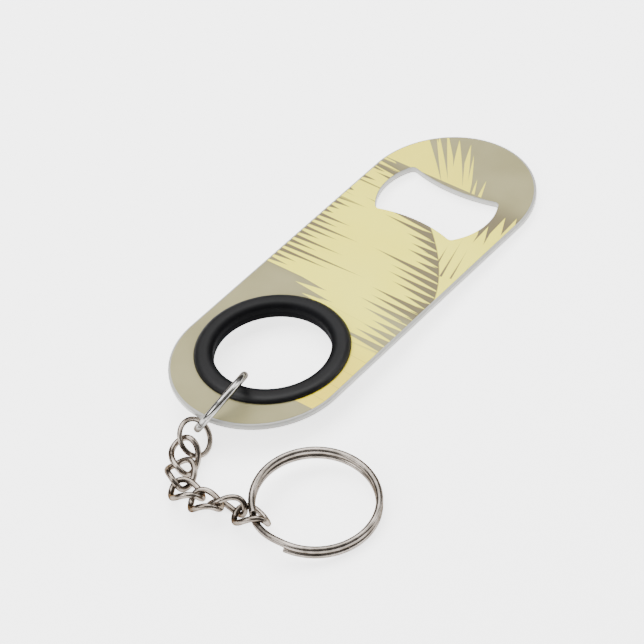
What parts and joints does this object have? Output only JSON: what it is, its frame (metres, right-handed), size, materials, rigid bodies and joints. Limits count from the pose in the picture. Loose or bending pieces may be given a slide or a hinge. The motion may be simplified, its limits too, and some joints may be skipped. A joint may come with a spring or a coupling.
{
  "type": "keychain bottle opener",
  "caption": "Flat steel bottle opener with round ends, a soft-lined finger hole and a cap opening, on a twisted-link chain with a split key ring.",
  "frame": {"origin": "centre of the finger hole, at half the plate's thickness", "axes": "+X along the plate to its tip, +Y across the plate, +Z out of the printed front face"},
  "size_m": [0.1242, 0.0669, 0.0149],
  "materials": {
    "coated_steel": "satin",
    "print": "semi-gloss print",
    "soft_pvc": "satin",
    "chrome_wire": "polished",
    "nickel_wire": "polished nickel"
  },
  "bodies": {
    "opener": {"blade": "coated_steel", "front_print": "print", "finger_grommet": "soft_pvc"},
    "bail": {"bail_ring": "chrome_wire"},
    "small": {"small_ring": "nickel_wire"},
    "link_1": {"chain_link_1": "nickel_wire"},
    "link_2": {"chain_link_2": "nickel_wire"},
    "link_3": {"chain_link_3": "nickel_wire"},
    "link_4": {"chain_link_4": "nickel_wire"},
    "link_5": {"chain_link_5": "nickel_wire"},
    "link_6": {"chain_link_6": "nickel_wire"},
    "keyring": {"split_ring": "nickel_wire"}
  },
  "joints": [
    {"name": "bail_swing", "type": "hinge", "parent": "opener", "child": "bail", "pos_m": [-0.0181, -0.0009, 0.0004], "axis": [0.9925, 0.1219, 0], "range_deg": [-60, 0]},
    {"name": "small_ring_swing", "type": "hinge", "parent": "bail", "child": "small", "pos_m": [-0.02397, 0.00111, -0.00363], "axis": [-0.5997, -0.4988, 0.6257], "range_deg": [-5, 32]},
    {"name": "link_1_swing", "type": "hinge", "parent": "small", "child": "link_1", "pos_m": [-0.02933, -0.00234, -0.00537], "axis": [0.7123, -0.3546, -0.6057], "range_deg": [-22, 9]},
    {"name": "link_2_swing", "type": "hinge", "parent": "link_1", "child": "link_2", "pos_m": [-0.03447, -0.00132, -0.00357], "axis": [0.4081, 0.8955, 0.1778], "range_deg": [-30, 9]},
    {"name": "link_3_swing", "type": "hinge", "parent": "link_2", "child": "link_3", "pos_m": [-0.03594, -0.00647, -0.00615], "axis": [0.9925, 0.0723, 0.0987], "range_deg": [-30, 5]},
    {"name": "link_4_swing", "type": "hinge", "parent": "link_3", "child": "link_4", "pos_m": [-0.03733, -0.01137, -0.00547], "axis": [-0.6325, -0.7463, 0.2074], "range_deg": [-30, 21]},
    {"name": "link_5_swing", "type": "hinge", "parent": "link_4", "child": "link_5", "pos_m": [-0.03991, -0.01789, -0.00308], "axis": [-0.6658, 0.2131, 0.7151], "range_deg": [-2, 21]},
    {"name": "link_6_swing", "type": "hinge", "parent": "link_5", "child": "link_6", "pos_m": [-0.03624, -0.02204, -0.00417], "axis": [0.2672, 0.0575, 0.9619], "range_deg": [-4, 21]},
    {"name": "keyring_swing", "type": "hinge", "parent": "link_6", "child": "keyring", "pos_m": [-0.03857, -0.02653, -0.00225], "axis": [0.5741, -0.8118, 0.1067], "range_deg": [0, 14]}
  ]
}
